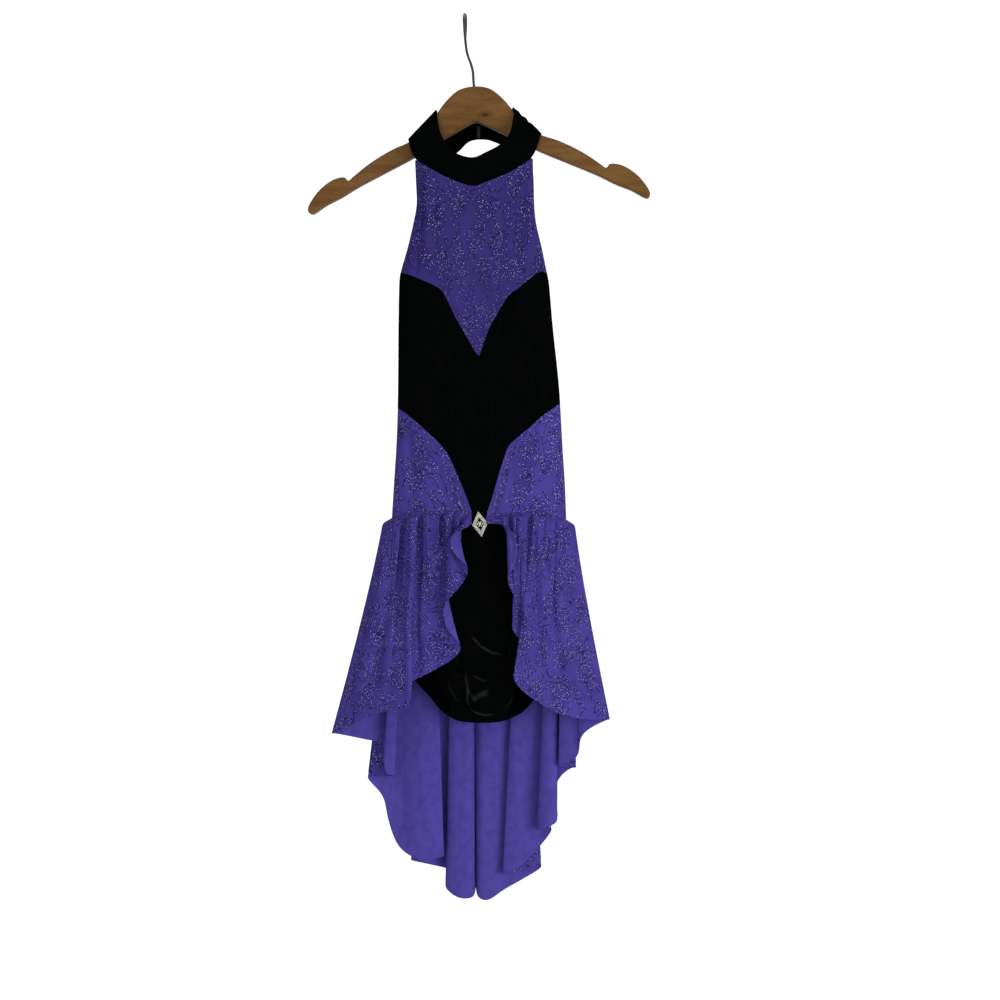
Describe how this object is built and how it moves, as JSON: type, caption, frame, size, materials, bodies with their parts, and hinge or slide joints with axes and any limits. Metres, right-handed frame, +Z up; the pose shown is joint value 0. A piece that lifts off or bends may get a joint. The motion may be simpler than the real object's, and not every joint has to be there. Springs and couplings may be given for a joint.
{
  "type": "lyrical dance costume on a hanger",
  "caption": "halter leotard in printed knit and velvet with an open back, gathered open-front skirt and long tail, hung on a wooden hanger by its collar",
  "frame": {"origin": "inside top of the hanger's hook, where a rail carries it", "axes": "+Z up, -Y out of the garment's front, +X to the right of someone who looks at the front"},
  "size_m": [0.4418, 0.1234, 1.1515],
  "materials": {
    "printed_knit": "violet stretch knit with a dark dotted flower print and glitter",
    "velvet": "black stretch velvet",
    "wood": "clear lacquered",
    "hook_steel": "dull wire",
    "closing_tape": "woven tape",
    "brooch_metal": "bright settings",
    "stones": "cut rhinestones"
  },
  "bodies": {
    "root": {"hanger_body": "wood", "hanger_hook": "hook_steel", "collar": "velvet", "collar_closure": "closing_tape", "halter_front": "printed_knit", "midriff_front": "velvet", "hip_left": "printed_knit", "hip_right": "printed_knit", "back_bodice": "velvet", "hip_back": "printed_knit", "trunk_front": "velvet", "trunk_back": "velvet", "skirt_left": "printed_knit", "skirt_back": "printed_knit", "skirt_right": "printed_knit", "brooch_frame": "brooch_metal", "brooch_centre": "stones"}
  },
  "joints": []
}
